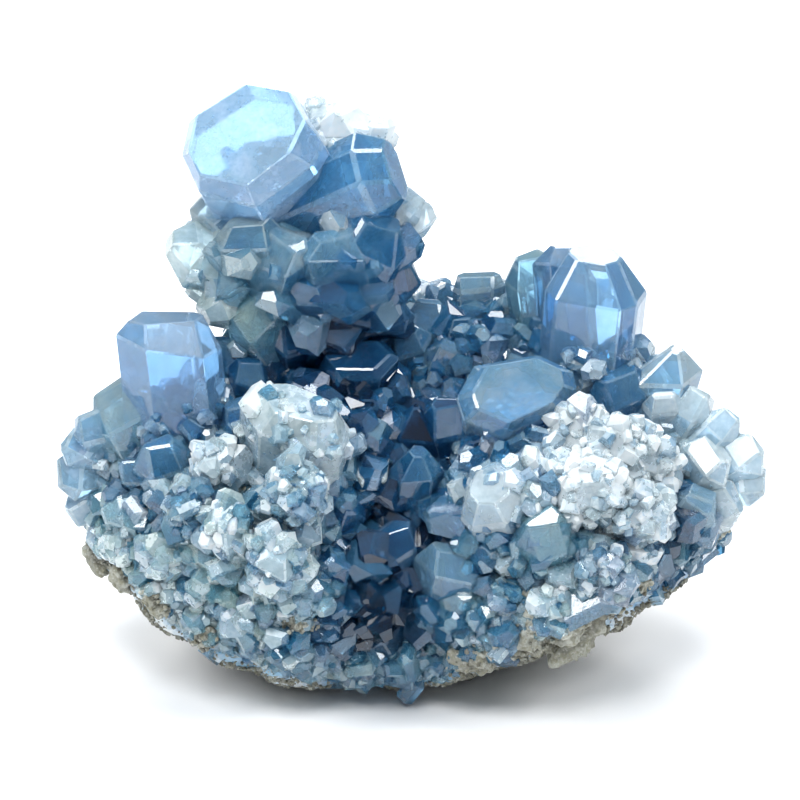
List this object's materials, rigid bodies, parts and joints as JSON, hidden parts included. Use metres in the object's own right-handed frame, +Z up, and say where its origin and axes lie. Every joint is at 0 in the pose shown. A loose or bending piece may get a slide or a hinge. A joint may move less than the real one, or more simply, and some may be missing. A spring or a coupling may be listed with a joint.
{
  "type": "celestite geode",
  "caption": "Broken piece of geode wall with a hollow lined by pale to deep blue blocky crystals and a tall crystal cluster on its back rim, on rough grey-beige rock.",
  "frame": {"origin": "middle of the flat spot that the rock rests on", "axes": "+Z up, +X to the right along the width, the open crystal side faces -Y"},
  "size_m": [0.1194, 0.072, 0.1018],
  "materials": {
    "rock": "rough, grey-beige with khaki and rusty stains",
    "crust": "glossy to frosted blue crystal faces, deep blue in the hollow and white at the rims",
    "tower": "glossy pale blue crystal faces with frosted edges"
  },
  "bodies": {
    "root": {"rock_matrix": "rock", "crystal_crust": "crust", "crystal_tower": "tower"}
  },
  "joints": []
}
